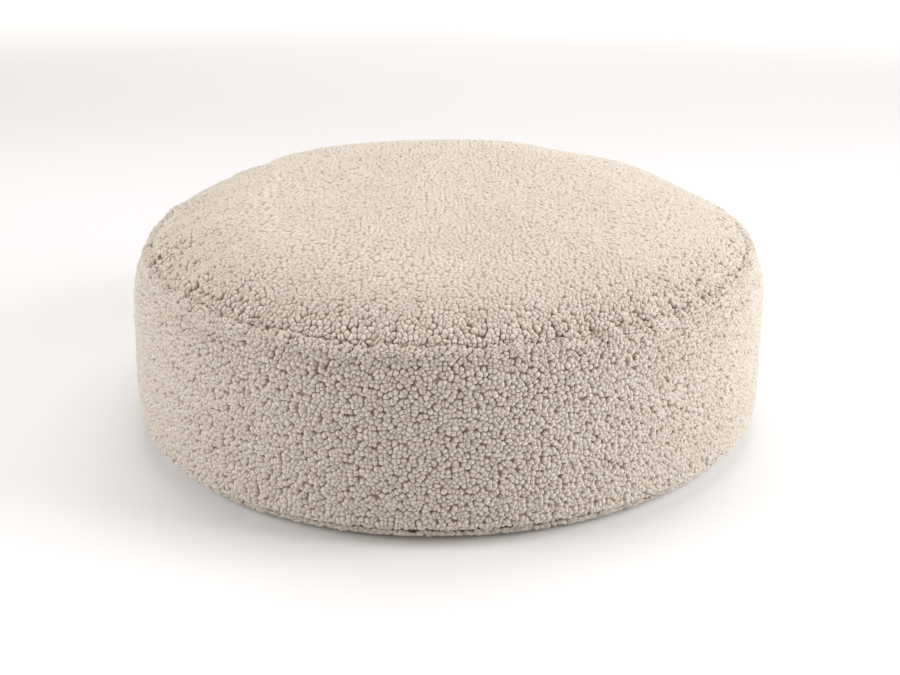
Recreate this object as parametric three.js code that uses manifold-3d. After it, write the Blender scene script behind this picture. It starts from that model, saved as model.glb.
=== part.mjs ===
// Round floor cushion with a domed top, made the way an upholsterer makes it.
// A zipped outer cover of curled-pile teddy fabric holds a sewn inner liner, and the liner holds a foam
// disc wrapped in fibre wadding. Millimetres, +Z up, the front of the cushion faces -Y, and the origin is
// the centre of the face it rests on. Every soft layer is a ring or disc about +Z.
import * as THREE from "three";
import { mergeVertices } from "three/addons/utils/BufferGeometryUtils.js";
import Module from "manifold-3d";

const wasm = await Module();
wasm.setup();

// ---------------------------------------------------------------------------------- driving dimensions
// Outer shape
const outerRadius = 400; // at the widest height
const widestHeight = 80; // where the side stands straight up
const topSeamHeight = 240; // top seam above the floor
const topSeamInset = 24; // how far the top seam lies inside the widest radius
const topRounding = 7; // power of the curve that turns the side in to the top seam
const crownRise = 55; // how far the stuffed top rises above its seam
const crownFlatRadius = 94; // the level middle of the top
const crownRounding = 3.6; // power of the curve that turns the top down to its seam
const floorInset = 33; // how far the edge of the floor face lies inside the widest radius
const baseRounding = 3.75; // power of the curve that turns the side in to the floor
const baseSeamHeight = 18; // base seam above the floor

// Layers, from the outside in
const fabric = 8; // teddy fabric, backing and pile together
const linerSlack = 1.5; // air between the cover and the liner
const liner = 1;
const waddingDepth = 30; // from the outside of the cushion to the inside of the wadding
const layerGap = 0.5; // between layers that lie on each other

// Sewn seams
const pieceGap = 0.3; // between the edges of two pieces
const allowanceDepth = 16; // how deep the turned-in seam allowance reaches
const allowance = 3; // thickness of one turned-in layer, its pile flattened
const grooveHalf = 6; // half width of the groove that a sewn seam pulls in
const grooveDepth = 4;
const seamHollow = 3; // room that the liner leaves round the allowances
const seamHollowHalf = 8;
const seamHollowRamp = 12;
const thread = 1.2; // seam thread, across its corners

// Zip, a nylon coil zip set in the rear of the side. Halves are measured from its centre line.
const zipHeight = 60; // centre line of the zip above the floor
const coilGapHalf = 1.3;
const coilWidth = 1.9;
const coil = 2.4; // thickness of a coil
const tape = 0.8;
const tapeHem = 9.7; // width of tape that lies behind the fabric
const stitchHem = 4.7; // from the edge of the fabric to its topstitching
const topStopArc = 20; // from the side seam to the middle of the top stops
const bottomStopArc = 24;
const closedArc = 42; // from the side seam to the middle of the closed slider
const stopLength = 5;
const metal = 0.8; // thickness of a stop

// Slider and pull
const sliderRun = 0.55; // room between the slider and the zip that runs through it
const sliderPlate = 1.1;
const sliderFlange = 1;
const sliderLength = 11.5;
const sliderSide = 1.5; // room between the slider and the edges of the fabric
const postLength = 2.5;
const postInset = 0.4; // from the slider's nose to its post
const bridgeLength = 9;
const bridgeHalf = 0.9;
const bridgeLeg = 1.4;
const bridgeBar = 1.2;
const pullRun = 0.4; // room round the pull where it turns in the bridge
const pullLength = 27; // from the hinge to the tip
const pullThickness = 1.2;
const pullBorder = 2; // width of metal beside and beyond the window

// Care label, blank, inside the cover by the left side seam
const labelWidth = 30;
const labelHeight = 45;
const labelThickness = 0.6;
const labelArc = 30; // from the side seam to the near edge of the label
const labelBottom = 95; // above the floor

// Facets
const coverSteps = 72; // round the whole circle
const innerSteps = 36;
const zipSteps = 72; // along the half turn of the zip

const coilOuter = coilGapHalf + coilWidth;
const sliderHalf = coilOuter + sliderRun + sliderFlange;
const zipGapHalf = sliderHalf + sliderSide;
const tapeReach = zipGapHalf + tapeHem;
const topSeamRadius = outerRadius - topSeamInset;
const floorRadius = outerRadius - floorInset;
const totalHeight = topSeamHeight + crownRise;

// ------------------------------------------------------------------------------------- outer surface
// A station is a point of the outer surface with its outward normal, both as [radius, height].
function station(r, z, nr, nz) {
  const length = Math.hypot(nr, nz);
  return { point: [r, z], out: [nr / length, nz / length] };
}

function onCrown(r) {
  const span = topSeamRadius - crownFlatRadius;
  const share = Math.max(0, r - crownFlatRadius) / span;
  const z = topSeamHeight + crownRise * (1 - share ** crownRounding);
  const slope = (crownRise * crownRounding * share ** (crownRounding - 1)) / span;
  return station(r, z, slope, 1);
}

function onSide(z) {
  const above = z >= widestHeight;
  const span = above ? topSeamHeight - widestHeight : widestHeight;
  const inset = above ? topSeamInset : floorInset;
  const power = above ? topRounding : baseRounding;
  const share = Math.abs(z - widestHeight) / span;
  const slope = ((inset * power) / span) * share ** (power - 1);
  return station(outerRadius - inset * share ** power, z, 1, above ? slope : -slope);
}

function onFloor(r) {
  return station(r, 0, 0, -1);
}

// A point below the outer surface, by its depth along the normal.
function under(at, depth) {
  return [at.point[0] - at.out[0] * depth, at.point[1] - at.out[1] * depth];
}

// A seam's own axes: along runs down the outer surface from the crown towards the floor.
function seamAt(at) {
  const along = [at.out[1], -at.out[0]];
  return (distance, depth) => {
    const [r, z] = under(at, depth);
    return [r + along[0] * distance, z + along[1] * distance];
  };
}

const crownEnd = onCrown(topSeamRadius);
const sideEnd = onSide(topSeamHeight);
const topSeam = seamAt(
  station(...crownEnd.point, crownEnd.out[0] + sideEnd.out[0], crownEnd.out[1] + sideEnd.out[1]),
);
const baseSeam = seamAt(onSide(baseSeamHeight));

// Numbers from a to b, closer together at b.
function easedTo(a, b, count) {
  return Array.from({ length: count }, (_, i) => a + (b - a) * Math.sin((i / (count - 1)) * (Math.PI / 2)));
}

// Numbers from a to b, closer together at both ends.
function easedBoth(a, b, count) {
  return Array.from({ length: count }, (_, i) => a + (b - a) * (1 - Math.cos((i / (count - 1)) * Math.PI)) * 0.5);
}

function crownStations(toRadius, count) {
  return [0, ...easedTo(crownFlatRadius, toRadius, count)].map(onCrown);
}

function sideStations(fromHeight, toHeight, count) {
  return easedBoth(fromHeight, toHeight, count).map(onSide);
}

const depthOf = (stations, depth) => stations.map((at) => under(at, depth));

// -------------------------------------------------------------------------------------- solid making
function signedArea(outline) {
  return outline.reduce((sum, [r, z], i) => {
    const [nextR, nextZ] = outline[(i + 1) % outline.length];
    return sum + (r * nextZ - nextR * z) / 2;
  }, 0);
}

// Counter-clockwise, with radius to the right and height up.
function turned(outline) {
  return signedArea(outline) > 0 ? outline : [...outline].reverse();
}

// A full turn of an outline in [radius, height] about +Z. An outline that meets the axis twice stays open
// there, and any other closes on itself.
function revolve(outline, steps) {
  const counter = turned(outline);
  const axisPoint = counter.findIndex(([r], i) => r < 1e-9 && counter.at(i - 1)[0] < 1e-9);
  const open = axisPoint >= 0;
  const ring = open
    ? [...counter.slice(axisPoint), ...counter.slice(0, axisPoint)]
    : [...counter, counter[0]];
  const points = ring.map(([r, z]) => new THREE.Vector2(r, z));
  return new THREE.LatheGeometry(points, steps).rotateX(Math.PI / 2);
}

// Part of a turn, from one angle to another, with flat ends.
function sweep(outline, from, to, steps) {
  const shape = new THREE.Shape(turned(outline).map(([r, z]) => new THREE.Vector2(r, z)));
  const geometry = new THREE.ExtrudeGeometry(shape, { depth: 1, steps, bevelEnabled: false });
  const position = geometry.getAttribute("position");
  for (let i = 0; i < position.count; i++) {
    const angle = to + (from - to) * position.getZ(i);
    const r = position.getX(i);
    position.setXYZ(i, r * Math.cos(angle), r * Math.sin(angle), position.getY(i));
  }
  return geometry;
}

function box(x0, x1, y0, y1, z0, z1) {
  const geometry = new THREE.BoxGeometry(x1 - x0, y1 - y0, z1 - z0);
  return geometry.translate((x0 + x1) / 2, (y0 + y1) / 2, (z0 + z1) / 2);
}

function joined(...geometries) {
  const solids = geometries.map((geometry) => {
    const bare = geometry.clone().deleteAttribute("normal").deleteAttribute("uv");
    const merged = mergeVertices(bare, 1e-4);
    return new wasm.Manifold(
      new wasm.Mesh({
        numProp: 3,
        vertProperties: new Float32Array(merged.getAttribute("position").array),
        triVerts: new Uint32Array(merged.index.array),
      }),
    );
  });
  const whole = solids.reduce((sum, solid) => sum.add(solid)).getMesh();
  const geometry = new THREE.BufferGeometry();
  geometry.setAttribute("position", new THREE.BufferAttribute(whole.vertProperties, 3));
  geometry.setIndex(new THREE.BufferAttribute(whole.triVerts, 1));
  return geometry;
}

// An outline drawn across the zip, [height, distance out], pulled along the zip and centred on it.
function alongZip(outline, length) {
  const shape = new THREE.Shape(turned(outline).map(([y, z]) => new THREE.Vector2(y, z)));
  const geometry = new THREE.ExtrudeGeometry(shape, { depth: length, bevelEnabled: false });
  // Extrude's x, y and z become the zip's y, z and x.
  const toZip = new THREE.Matrix4().set(0, 0, 1, -length / 2, 1, 0, 0, 0, 0, 1, 0, 0, 0, 0, 0, 1);
  return geometry.applyMatrix4(toZip);
}

// ------------------------------------------------------------------------------------------ materials
function material(color, roughness, metalness = 0) {
  return new THREE.MeshStandardMaterial({ color, roughness, metalness });
}

const teddy = material(0xded0bf, 0.95);
const sewingThread = material(0xd2c3b0, 0.8);
const zipTape = material(0xcdbda8, 0.9);
const zipCoil = material(0xc9b9a3, 0.45);
const zipMetal = material(0xb9b2a6, 0.35, 1);
const linerCotton = material(0xf0ece4, 0.9);
const fibre = material(0xf7f6f2, 0.95);
const foam = material(0xf1ead2, 0.9);
const satin = material(0xf4f2ee, 0.5);

const cushion = new THREE.Group();
cushion.name = "floor_cushion";

function add(name, geometry, look, parent = cushion) {
  const mesh = new THREE.Mesh(geometry, look);
  mesh.name = name;
  parent.add(mesh);
  return mesh;
}

// ---------------------------------------------------------------------------------------- outer cover
const seamEdge = pieceGap / 2;
const lipEdge = seamEdge + allowance;
const innerStart = lipEdge + seamHollowHalf; // where a panel's inner face leaves its allowance

// The edge of a panel at a seam: into the groove, down the allowance and back out to the inner face.
// side is -1 for the piece above the seam and +1 for the piece below it.
function seamEdgeOf(seam, side) {
  return [
    seam(side * seamEdge, grooveDepth),
    seam(side * seamEdge, allowanceDepth),
    seam(side * lipEdge, allowanceDepth),
    seam(side * lipEdge, fabric),
  ];
}

// The liner follows the inside stations of the cover, so the two stay the same distance apart.
const outsideCrown = crownStations(topSeamRadius - grooveHalf, 7);
const insideCrown = crownStations(topSeamRadius - innerStart, 6);

function topPanel() {
  const outline = [
    ...depthOf(outsideCrown, 0),
    ...seamEdgeOf(topSeam, -1),
    ...depthOf(insideCrown, fabric).reverse(),
  ];
  return revolve(outline, coverSteps);
}

const upperEdge = zipHeight + zipGapHalf;
const lowerEdge = zipHeight - zipGapHalf;
const innerTop = topSeamHeight - innerStart;
const innerBottom = baseSeamHeight + innerStart;

// The front and rear bands share these stations, so they meet face to face at the side seams.
const outsideAbove = sideStations(topSeamHeight - grooveHalf, upperEdge, 7);
const outsideBelow = sideStations(lowerEdge, baseSeamHeight + grooveHalf, 4);
const insideAbove = sideStations(innerTop, upperEdge, 5);
const insideBelow = sideStations(lowerEdge, innerBottom, 3);

function frontBand() {
  return [
    ...depthOf([...outsideAbove, ...outsideBelow], 0),
    ...seamEdgeOf(baseSeam, -1),
    ...depthOf([...insideAbove, ...insideBelow], fabric).reverse(),
    ...seamEdgeOf(topSeam, 1).reverse(),
  ];
}

function rearUpperBand() {
  return [
    ...depthOf(outsideAbove, 0),
    ...depthOf(insideAbove, fabric).reverse(),
    ...seamEdgeOf(topSeam, 1).reverse(),
  ];
}

function rearLowerBand() {
  return [
    ...depthOf(outsideBelow, 0),
    ...seamEdgeOf(baseSeam, -1),
    ...depthOf(insideBelow, fabric).reverse(),
  ];
}

function basePanel() {
  const turnHeights = [baseSeamHeight - grooveHalf * 0.8, baseSeamHeight * 0.3];
  return revolve(
    [
      ...seamEdgeOf(baseSeam, 1).reverse(),
      ...depthOf(turnHeights.map(onSide), 0),
      ...depthOf([onFloor(floorRadius), onFloor(0)], 0),
      ...depthOf([onFloor(0), onFloor(floorRadius - fabric)], fabric),
    ],
    coverSteps,
  );
}

// A closed ring of thread with a diamond section, laid at a seam at the given depth.
function threadRing(seam, depth, steps) {
  const half = thread / 2;
  return revolve([seam(0, depth - half), seam(half, depth), seam(0, depth + half), seam(-half, depth)], steps);
}

// Thread behind the join between the front and rear bands, following the side's inner face.
function sideSeamThread(angle) {
  const near = fabric + pieceGap;
  const far = near + thread / 2;
  const stations = [...insideAbove, ...insideBelow];
  const outline = [...depthOf(stations, near), ...depthOf(stations, far).reverse()];
  const halfTurn = thread / 2 / outerRadius;
  return sweep(outline, angle - halfTurn, angle + halfTurn, 1);
}

const bandEdge = pieceGap / 2 / outerRadius; // half the gap at a side seam, as an angle
const halfSteps = coverSteps / 2;

add("cover_top_panel", topPanel(), teddy);
add("cover_front_band", sweep(frontBand(), Math.PI + bandEdge, 2 * Math.PI - bandEdge, halfSteps), teddy);
add("cover_rear_band_upper", sweep(rearUpperBand(), bandEdge, Math.PI - bandEdge, halfSteps), teddy);
add("cover_rear_band_lower", sweep(rearLowerBand(), bandEdge, Math.PI - bandEdge, halfSteps), teddy);
add("cover_base_panel", basePanel(), teddy);
const ringDepth = grooveDepth - thread;
add("top_seam_thread", threadRing(topSeam, ringDepth, coverSteps), sewingThread);
add("base_seam_thread", threadRing(baseSeam, ringDepth, coverSteps), sewingThread);
add("side_seam_thread_right", sideSeamThread(0), sewingThread);
add("side_seam_thread_left", sideSeamThread(Math.PI), sewingThread);

// ------------------------------------------------------------------------------------------------ zip
// The radius of a falling profile at a height.
function radiusAt(profile, z) {
  const i = profile.findIndex((point) => point[1] <= z);
  const [[r0, z0], [r1, z1]] = [profile[i - 1], profile[i]];
  return r0 + ((r1 - r0) * (z - z0)) / (z1 - z0);
}

// How far a flat facet cuts inside its circle, on the cover and along the zip.
const facetSag = outerRadius * (1 - Math.cos(Math.PI / coverSteps));
const zipSag = outerRadius * (1 - Math.cos(Math.PI / zipSteps / 2));

// Distances out are from the middle of the coils, whose radius is coilRadius.
const tapeOut = -coil / 2 - pieceGap; // the face of the tape that the coil lies on
const tapeIn = tapeOut - tape;
const bandInside = depthOf([...insideAbove, ...insideBelow], fabric);
const fabricInside = Math.min(...[-tapeReach, tapeReach].map((reach) => radiusAt(bandInside, zipHeight + reach)));
const coilRadius = fabricInside - facetSag - pieceGap - tapeOut;
const plateOut = coil / 2 + sliderRun; // underside of the slider's front plate
const plateFace = plateOut + sliderPlate;
const backOut = tapeIn - sliderRun;
const backFace = backOut - sliderPlate;

const arcAngle = (arc) => arc / coilRadius;
const sidewaysAngle = arcAngle(4); // the tapes stop this short of the side seams

// A strip that runs along the zip, between two heights from its centre line and two distances out.
function zipStrip(low, high, inner, outer, from, to) {
  const outline = [
    [coilRadius + inner, zipHeight + low],
    [coilRadius + outer, zipHeight + low],
    [coilRadius + outer, zipHeight + high],
    [coilRadius + inner, zipHeight + high],
  ];
  return sweep(outline, from, to, zipSteps);
}

function zipSide(name, side) {
  const rows = (near, far) => (side > 0 ? [near, far] : [-far, -near]);
  const tapeEnds = [sidewaysAngle, Math.PI - sidewaysAngle];
  const coilEnds = [arcAngle(topStopArc + stopLength), Math.PI - arcAngle(bottomStopArc - stopLength)];
  add(`zip_tape_${name}`, zipStrip(...rows(coilGapHalf, tapeReach), tapeIn, tapeOut, ...tapeEnds), zipTape);
  add(`zip_coil_${name}`, zipStrip(...rows(coilGapHalf, coilOuter), -coil / 2, coil / 2, ...coilEnds), zipCoil);
  const stitchIn = tapeIn - pieceGap - thread / 2;
  const stitchOut = tapeIn - pieceGap;
  const stitchStart = zipGapHalf + stitchHem;
  const stitchRow = rows(stitchStart, stitchStart + thread / 2);
  add(`zip_stitching_${name}`, zipStrip(...stitchRow, stitchIn, stitchOut, ...tapeEnds), sewingThread);
}

// A group whose x runs along the zip, y up and z straight out, centred on the coils at an angle.
function zipFrame(angle) {
  const frame = new THREE.Group();
  const along = new THREE.Vector3(-Math.sin(angle), Math.cos(angle), 0);
  const out = new THREE.Vector3(Math.cos(angle), Math.sin(angle), 0);
  const across = new THREE.Vector3().crossVectors(out, along);
  frame.quaternion.setFromRotationMatrix(new THREE.Matrix4().makeBasis(along, across, out));
  frame.position.set(out.x * coilRadius, out.y * coilRadius, zipHeight);
  cushion.add(frame);
  return frame;
}

const stopFront = coil / 2 + pieceGap;
const stopBack = tapeIn - pieceGap;
const stopReach = coilOuter + sliderRun;
const postHalf = coilGapHalf - pieceGap;

// A clip round the edge of one tape, its two plates joined through the gap between the tapes.
function topStop(side) {
  const edge = coilGapHalf - pieceGap;
  const near = pieceGap;
  const outline = [
    [near, stopBack - metal],
    [stopReach, stopBack - metal],
    [stopReach, stopBack],
    [edge, stopBack],
    [edge, stopFront],
    [stopReach, stopFront],
    [stopReach, stopFront + metal],
    [near, stopFront + metal],
  ].map(([y, z]) => [y * side, z]);
  return alongZip(outline, stopLength);
}

// A clip across both tapes, its plates joined by a web in the gap between them.
function bottomStop() {
  const front = box(-stopLength / 2, stopLength / 2, -stopReach, stopReach, stopFront, stopFront + metal);
  const back = box(-stopLength / 2, stopLength / 2, -stopReach, stopReach, stopBack - metal, stopBack);
  const web = box(-stopLength / 2, stopLength / 2, -postHalf, postHalf, stopBack - metal, stopFront + metal);
  return joined(front, back, web);
}

zipSide("upper", 1);
zipSide("lower", -1);
const topStops = zipFrame(arcAngle(topStopArc));
add("zip_top_stop_upper", topStop(1), zipMetal, topStops);
add("zip_top_stop_lower", topStop(-1), zipMetal, topStops);
add("zip_bottom_stop", bottomStop(), zipMetal, zipFrame(Math.PI - arcAngle(bottomStopArc)));

// ------------------------------------------------------------------------------------ slider and pull
const bridgeHollow = pullThickness + pullRun * 2; // height under the bridge's bar

// The slider closes the zip towards -x. Its plates narrow to the tail, as on a coil slider.
function sliderPlateShape() {
  const half = sliderLength / 2;
  const tail = sliderHalf * 0.85;
  const shape = new THREE.Shape();
  shape.moveTo(-half, -sliderHalf * 0.7);
  shape.lineTo(-half * 0.6, -sliderHalf);
  shape.lineTo(half * 0.2, -sliderHalf);
  shape.lineTo(half, -tail);
  shape.lineTo(half, tail);
  shape.lineTo(half * 0.2, sliderHalf);
  shape.lineTo(-half * 0.6, sliderHalf);
  shape.lineTo(-half, sliderHalf * 0.7);
  return shape;
}

function plate(z0, z1) {
  const options = { depth: z1 - z0, bevelEnabled: false };
  return new THREE.ExtrudeGeometry(sliderPlateShape(), options).translate(0, 0, z0);
}

function slider() {
  const overlap = 0.2; // so that joined pieces share volume
  const frontPlate = plate(plateOut, plateFace);
  const backPlate = plate(backFace, backOut);
  const flangeEnd = tapeOut + sliderRun;
  const flangeHalf = sliderLength * 0.3;
  const flanges = [-1, 1].map((side) => {
    const [low, high] = [sliderHalf - sliderFlange, sliderHalf].map((y) => y * side).sort((a, b) => a - b);
    return box(-flangeHalf, sliderLength * 0.1, low, high, flangeEnd, plateOut + overlap);
  });
  const postStart = -sliderLength / 2 + postInset;
  const post = box(postStart, postStart + postLength, -postHalf, postHalf, backOut - overlap, plateOut + overlap);
  const legTop = plateFace + bridgeHollow + bridgeBar;
  const legs = [-1, 1].map((side) => {
    const outer = (bridgeLength / 2) * side;
    const [low, high] = [outer - bridgeLeg * side, outer].sort((a, b) => a - b);
    return box(low, high, -bridgeHalf, bridgeHalf, plateFace - overlap, legTop);
  });
  const barZ = plateFace + bridgeHollow;
  const bar = box(-bridgeLength / 2, bridgeLength / 2, -bridgeHalf, bridgeHalf, barZ, legTop);
  return joined(frontPlate, backPlate, ...flanges, post, ...legs, bar);
}

// A flat tab whose window is closed by the pin that turns under the slider's bridge.
function pull() {
  const pin = pullThickness / 2;
  const windowHalf = bridgeHalf + pullRun * 1.5;
  const windowEnd = bridgeLength / 2 + pullRun * 3;
  const pullHalf = windowHalf + pullBorder;
  const shape = new THREE.Shape();
  shape.moveTo(-pin, -pullHalf);
  shape.lineTo(pullLength - pullHalf, -pullHalf);
  shape.absarc(pullLength - pullHalf, 0, pullHalf, -Math.PI / 2, Math.PI / 2, false);
  shape.lineTo(-pin, pullHalf);
  const window = new THREE.Path();
  window.moveTo(pin, -windowHalf);
  window.lineTo(pin, windowHalf);
  window.lineTo(windowEnd, windowHalf);
  window.lineTo(windowEnd, -windowHalf);
  shape.holes.push(window);
  const options = { depth: pullThickness, bevelEnabled: false, curveSegments: 8 };
  return new THREE.ExtrudeGeometry(shape, options).translate(0, 0, -pin);
}

const sliderFrame = zipFrame(arcAngle(closedArc));
add("zip_slider", slider(), zipMetal, sliderFrame);
const pullFrame = new THREE.Group();
pullFrame.position.z = plateFace + bridgeHollow / 2;
sliderFrame.add(pullFrame);
add("zip_pull", pull(), zipMetal, pullFrame);

// --------------------------------------------------------------------------------------------- inside
const linerDepth = fabric + linerSlack;
const seamDent = allowanceDepth + seamHollow;
const zipDent = outerRadius - coilRadius - backFace + facetSag + layerGap;

// The liner's outer face as depths, pressed in where the cover's allowances and the zip lie.
// extra is how much deeper the wanted face lies than the liner's outer face.
function crownLayer(extra) {
  return [
    ...depthOf(insideCrown.slice(0, -1), linerDepth + extra),
    topSeam(-seamHollowHalf, seamDent + extra),
    topSeam(-seamEdge, seamDent + extra),
  ];
}

function sideLayer(extra) {
  const zipReach = tapeReach + 2;
  return [
    topSeam(seamEdge, seamDent + extra),
    topSeam(seamHollowHalf, seamDent + extra),
    ...depthOf(insideAbove.slice(1, -1), linerDepth + extra),
    ...depthOf([onSide(zipHeight + zipReach), onSide(zipHeight - zipReach)], zipDent + extra),
    baseSeam(-seamHollowHalf, seamDent + extra),
    baseSeam(-seamEdge, seamDent + extra),
  ];
}

function baseLayer(extra) {
  return [
    baseSeam(seamEdge, seamDent + extra),
    [floorRadius - seamHollowRamp * 1.5, linerDepth + extra],
    [0, linerDepth + extra],
  ];
}

const waddingOut = liner + layerGap;
const foamDepth = waddingDepth + layerGap;

function crownCore(depth) {
  return [...depthOf(crownStations(topSeamRadius - waddingDepth, 5), depth), topSeam(-seamEdge, depth)];
}

function sideCore(depth) {
  const heights = [topSeamHeight * 0.8, widestHeight, widestHeight * 0.6];
  return [topSeam(seamEdge, depth), ...depthOf(heights.map(onSide), depth), baseSeam(-seamEdge, depth)];
}

function baseCore(depth) {
  return [baseSeam(seamEdge, depth), [floorRadius - waddingDepth * 0.6, depth], [0, depth]];
}

const shell = (outer, inner) => revolve([...outer, ...[...inner].reverse()], innerSteps);

add("liner_top", shell(crownLayer(0), crownLayer(liner)), linerCotton);
add("liner_side", shell(sideLayer(0), sideLayer(liner)), linerCotton);
add("liner_base", shell(baseLayer(0), baseLayer(liner)), linerCotton);
const linerThreadDepth = seamDent - pieceGap - thread / 2;
add("liner_top_thread", threadRing(topSeam, linerThreadDepth, innerSteps), sewingThread);
add("liner_base_thread", threadRing(baseSeam, linerThreadDepth, innerSteps), sewingThread);
add("wadding_top", shell(crownLayer(waddingOut), crownCore(waddingDepth)), fibre);
add("wadding_side", shell(sideLayer(waddingOut), sideCore(waddingDepth)), fibre);
add("wadding_base", shell(baseLayer(waddingOut), baseCore(waddingDepth)), fibre);
const foamOutline = [
  ...crownCore(foamDepth).slice(0, -1),
  topSeam(0, foamDepth),
  ...sideCore(foamDepth).slice(1, -1),
  baseSeam(0, foamDepth),
  ...baseCore(foamDepth).slice(1),
];
add("foam_core", revolve(foamOutline, innerSteps), foam);

function careLabel() {
  const labelTop = labelBottom + labelHeight;
  const bends = bandInside.map(([, z]) => z).filter((z) => z > labelBottom && z < labelTop);
  const heights = [labelTop, ...bends, labelBottom];
  const face = (gap) => heights.map((z) => [radiusAt(bandInside, z) - facetSag - gap, z]);
  const outline = [...face(pieceGap), ...face(pieceGap + labelThickness).reverse()];
  const from = Math.PI + labelArc / outerRadius;
  return sweep(outline, from, from + labelWidth / outerRadius, 1);
}

add("care_label", careLabel(), satin);

export default cushion;
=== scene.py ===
"""A round floor cushion in curled-pile teddy fabric, with a domed top, a side band and a zip at the back."""

import math

import bpy
import numpy as np
from mathutils import Euler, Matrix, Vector


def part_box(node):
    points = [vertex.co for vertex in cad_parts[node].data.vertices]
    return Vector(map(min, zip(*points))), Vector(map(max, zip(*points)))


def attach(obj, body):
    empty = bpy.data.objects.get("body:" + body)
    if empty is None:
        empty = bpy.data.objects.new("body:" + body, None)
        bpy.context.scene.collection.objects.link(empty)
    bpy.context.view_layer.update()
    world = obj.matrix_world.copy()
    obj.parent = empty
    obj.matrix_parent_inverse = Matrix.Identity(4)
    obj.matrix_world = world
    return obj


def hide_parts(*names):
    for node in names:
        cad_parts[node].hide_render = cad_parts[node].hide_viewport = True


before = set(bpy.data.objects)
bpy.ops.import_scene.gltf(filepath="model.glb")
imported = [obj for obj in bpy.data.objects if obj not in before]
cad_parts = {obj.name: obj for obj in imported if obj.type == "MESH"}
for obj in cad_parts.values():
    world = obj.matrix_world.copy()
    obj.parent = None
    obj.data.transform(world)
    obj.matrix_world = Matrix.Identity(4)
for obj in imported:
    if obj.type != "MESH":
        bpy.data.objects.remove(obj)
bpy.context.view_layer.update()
bpy.ops.object.select_all(action="DESELECT")

# ------------------------------ camera
# A long lens on a tripod in front of the cushion, a little above it and tilted down. The tripod is not
# quite level, and the cushion sits a touch left of the middle of the picture.
view_distance = 2.6
view_elevation = math.radians(22.0)
view_roll = 0.013
view_target = Vector((0, 0, 0.1))
focal_length = 79.75
lens_shift = (0.0034, -0.0016)

view_turn = Euler((math.pi / 2 - view_elevation, 0, 0)).to_matrix()
view_turn @= Euler((0, 0, view_roll)).to_matrix()
bpy.ops.object.camera_add(
    location=view_target + view_turn @ Vector((0, 0, view_distance)), rotation=view_turn.to_euler()
)
camera = bpy.context.object
camera.name = "studio_camera"
camera.data.lens = focal_length
camera.data.sensor_width = 36
camera.data.shift_x, camera.data.shift_y = lens_shift
bpy.context.scene.camera = camera


# ------------------------------ studio
# A seamless pale floor under big soft boxes: a strong one on the right, a weaker one on the left, one
# overhead and a wide one on the backdrop. The front gets only what the floor and room throw back.
def colour(code):
    """An sRGB hex colour as linear red, green, blue and alpha."""
    parts = [int(code[i : i + 2], 16) / 255 for i in (0, 2, 4)]
    return [*(p / 12.92 if p <= 0.04045 else ((p + 0.055) / 1.055) ** 2.4 for p in parts), 1]


def add_node(tree, kind, inputs=None, **settings):
    """Adds a node. An input's value may be a number, a vector, a colour or another node's output."""
    made = tree.nodes.new(kind)
    for name, value in settings.items():
        setattr(made, name, value)
    for name, value in (inputs or {}).items():
        if isinstance(value, bpy.types.NodeSocket):
            tree.links.new(value, made.inputs[name])
        else:
            made.inputs[name].default_value = value
    return made


def new_material(name):
    """A material with nothing in it but its output, and its node tree."""
    made = bpy.data.materials.new(name)
    made.use_nodes = True
    made.node_tree.nodes.clear()
    return made, made.node_tree


def finish_material(tree, surface):
    """Sends a shader to the material's output."""
    add_node(tree, "ShaderNodeOutputMaterial", {"Surface": surface.outputs[0]})


def surfaced(tree, inputs):
    """Finishes a material with one surface shader."""
    finish_material(tree, add_node(tree, "ShaderNodeBsdfPrincipled", inputs))


def maths(tree, operation, *values):
    """A sum on numbers and other nodes' outputs."""
    return add_node(tree, "ShaderNodeMath", dict(enumerate(values)), operation=operation).outputs[0]


def vector_maths(tree, operation, *values):
    """A sum on vectors and other nodes' outputs."""
    return add_node(tree, "ShaderNodeVectorMath", dict(enumerate(values)), operation=operation).outputs[0]


def ranged(tree, value, low, high, to_low=0.0, to_high=1.0, **settings):
    """A value moved from one range to another, and held at its ends."""
    inputs = {0: value, 1: low, 2: high, 3: to_low, 4: to_high}
    return add_node(tree, "ShaderNodeMapRange", inputs, **settings).outputs[0]


def noise(tree, at, size, detail=2.0, **inputs):
    """Soft noise with features of a size, in metres."""
    inputs.update({"Vector": at, "Scale": 1 / size, "Detail": detail})
    return add_node(tree, "ShaderNodeTexNoise", inputs).outputs


def two_tone(tree, share, first, second):
    """A colour between two hex colours."""
    inputs = {"Factor": share, 6: colour(first), 7: colour(second)}
    return add_node(tree, "ShaderNodeMix", inputs, data_type="RGBA").outputs[2]


def bumped(tree, height, strength, distance):
    """Normals tilted to show a height, which is a distance in metres where it is 1."""
    return add_node(
        tree, "ShaderNodeBump", {"Strength": strength, "Distance": distance, "Height": height}
    ).outputs[0]


def soft_box(name, place, size, watts, target=(0, 0, 0.12)):
    """A square studio light at a place, facing a target."""
    facing = (Vector(target) - Vector(place)).to_track_quat("-Z", "Y")
    bpy.ops.object.light_add(type="AREA", location=place, rotation=facing.to_euler())
    light = bpy.context.object
    light.name = name
    light.data.shape = "RECTANGLE"
    light.data.size, light.data.size_y = size
    light.data.energy = watts


soft_box("soft_box_right", (2.6, -0.5, 1.3), (1.6, 1.8), 67)
soft_box("soft_box_left", (-2.5, -0.7, 1.2), (1.6, 1.8), 38)
soft_box("soft_box_above", (0.1, 0.9, 2.6), (2.4, 1.6), 30)
soft_box("soft_box_backdrop", (0, 3.6, 1.9), (6.0, 1.2), 150, target=(0, 5.2, 0))

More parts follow.
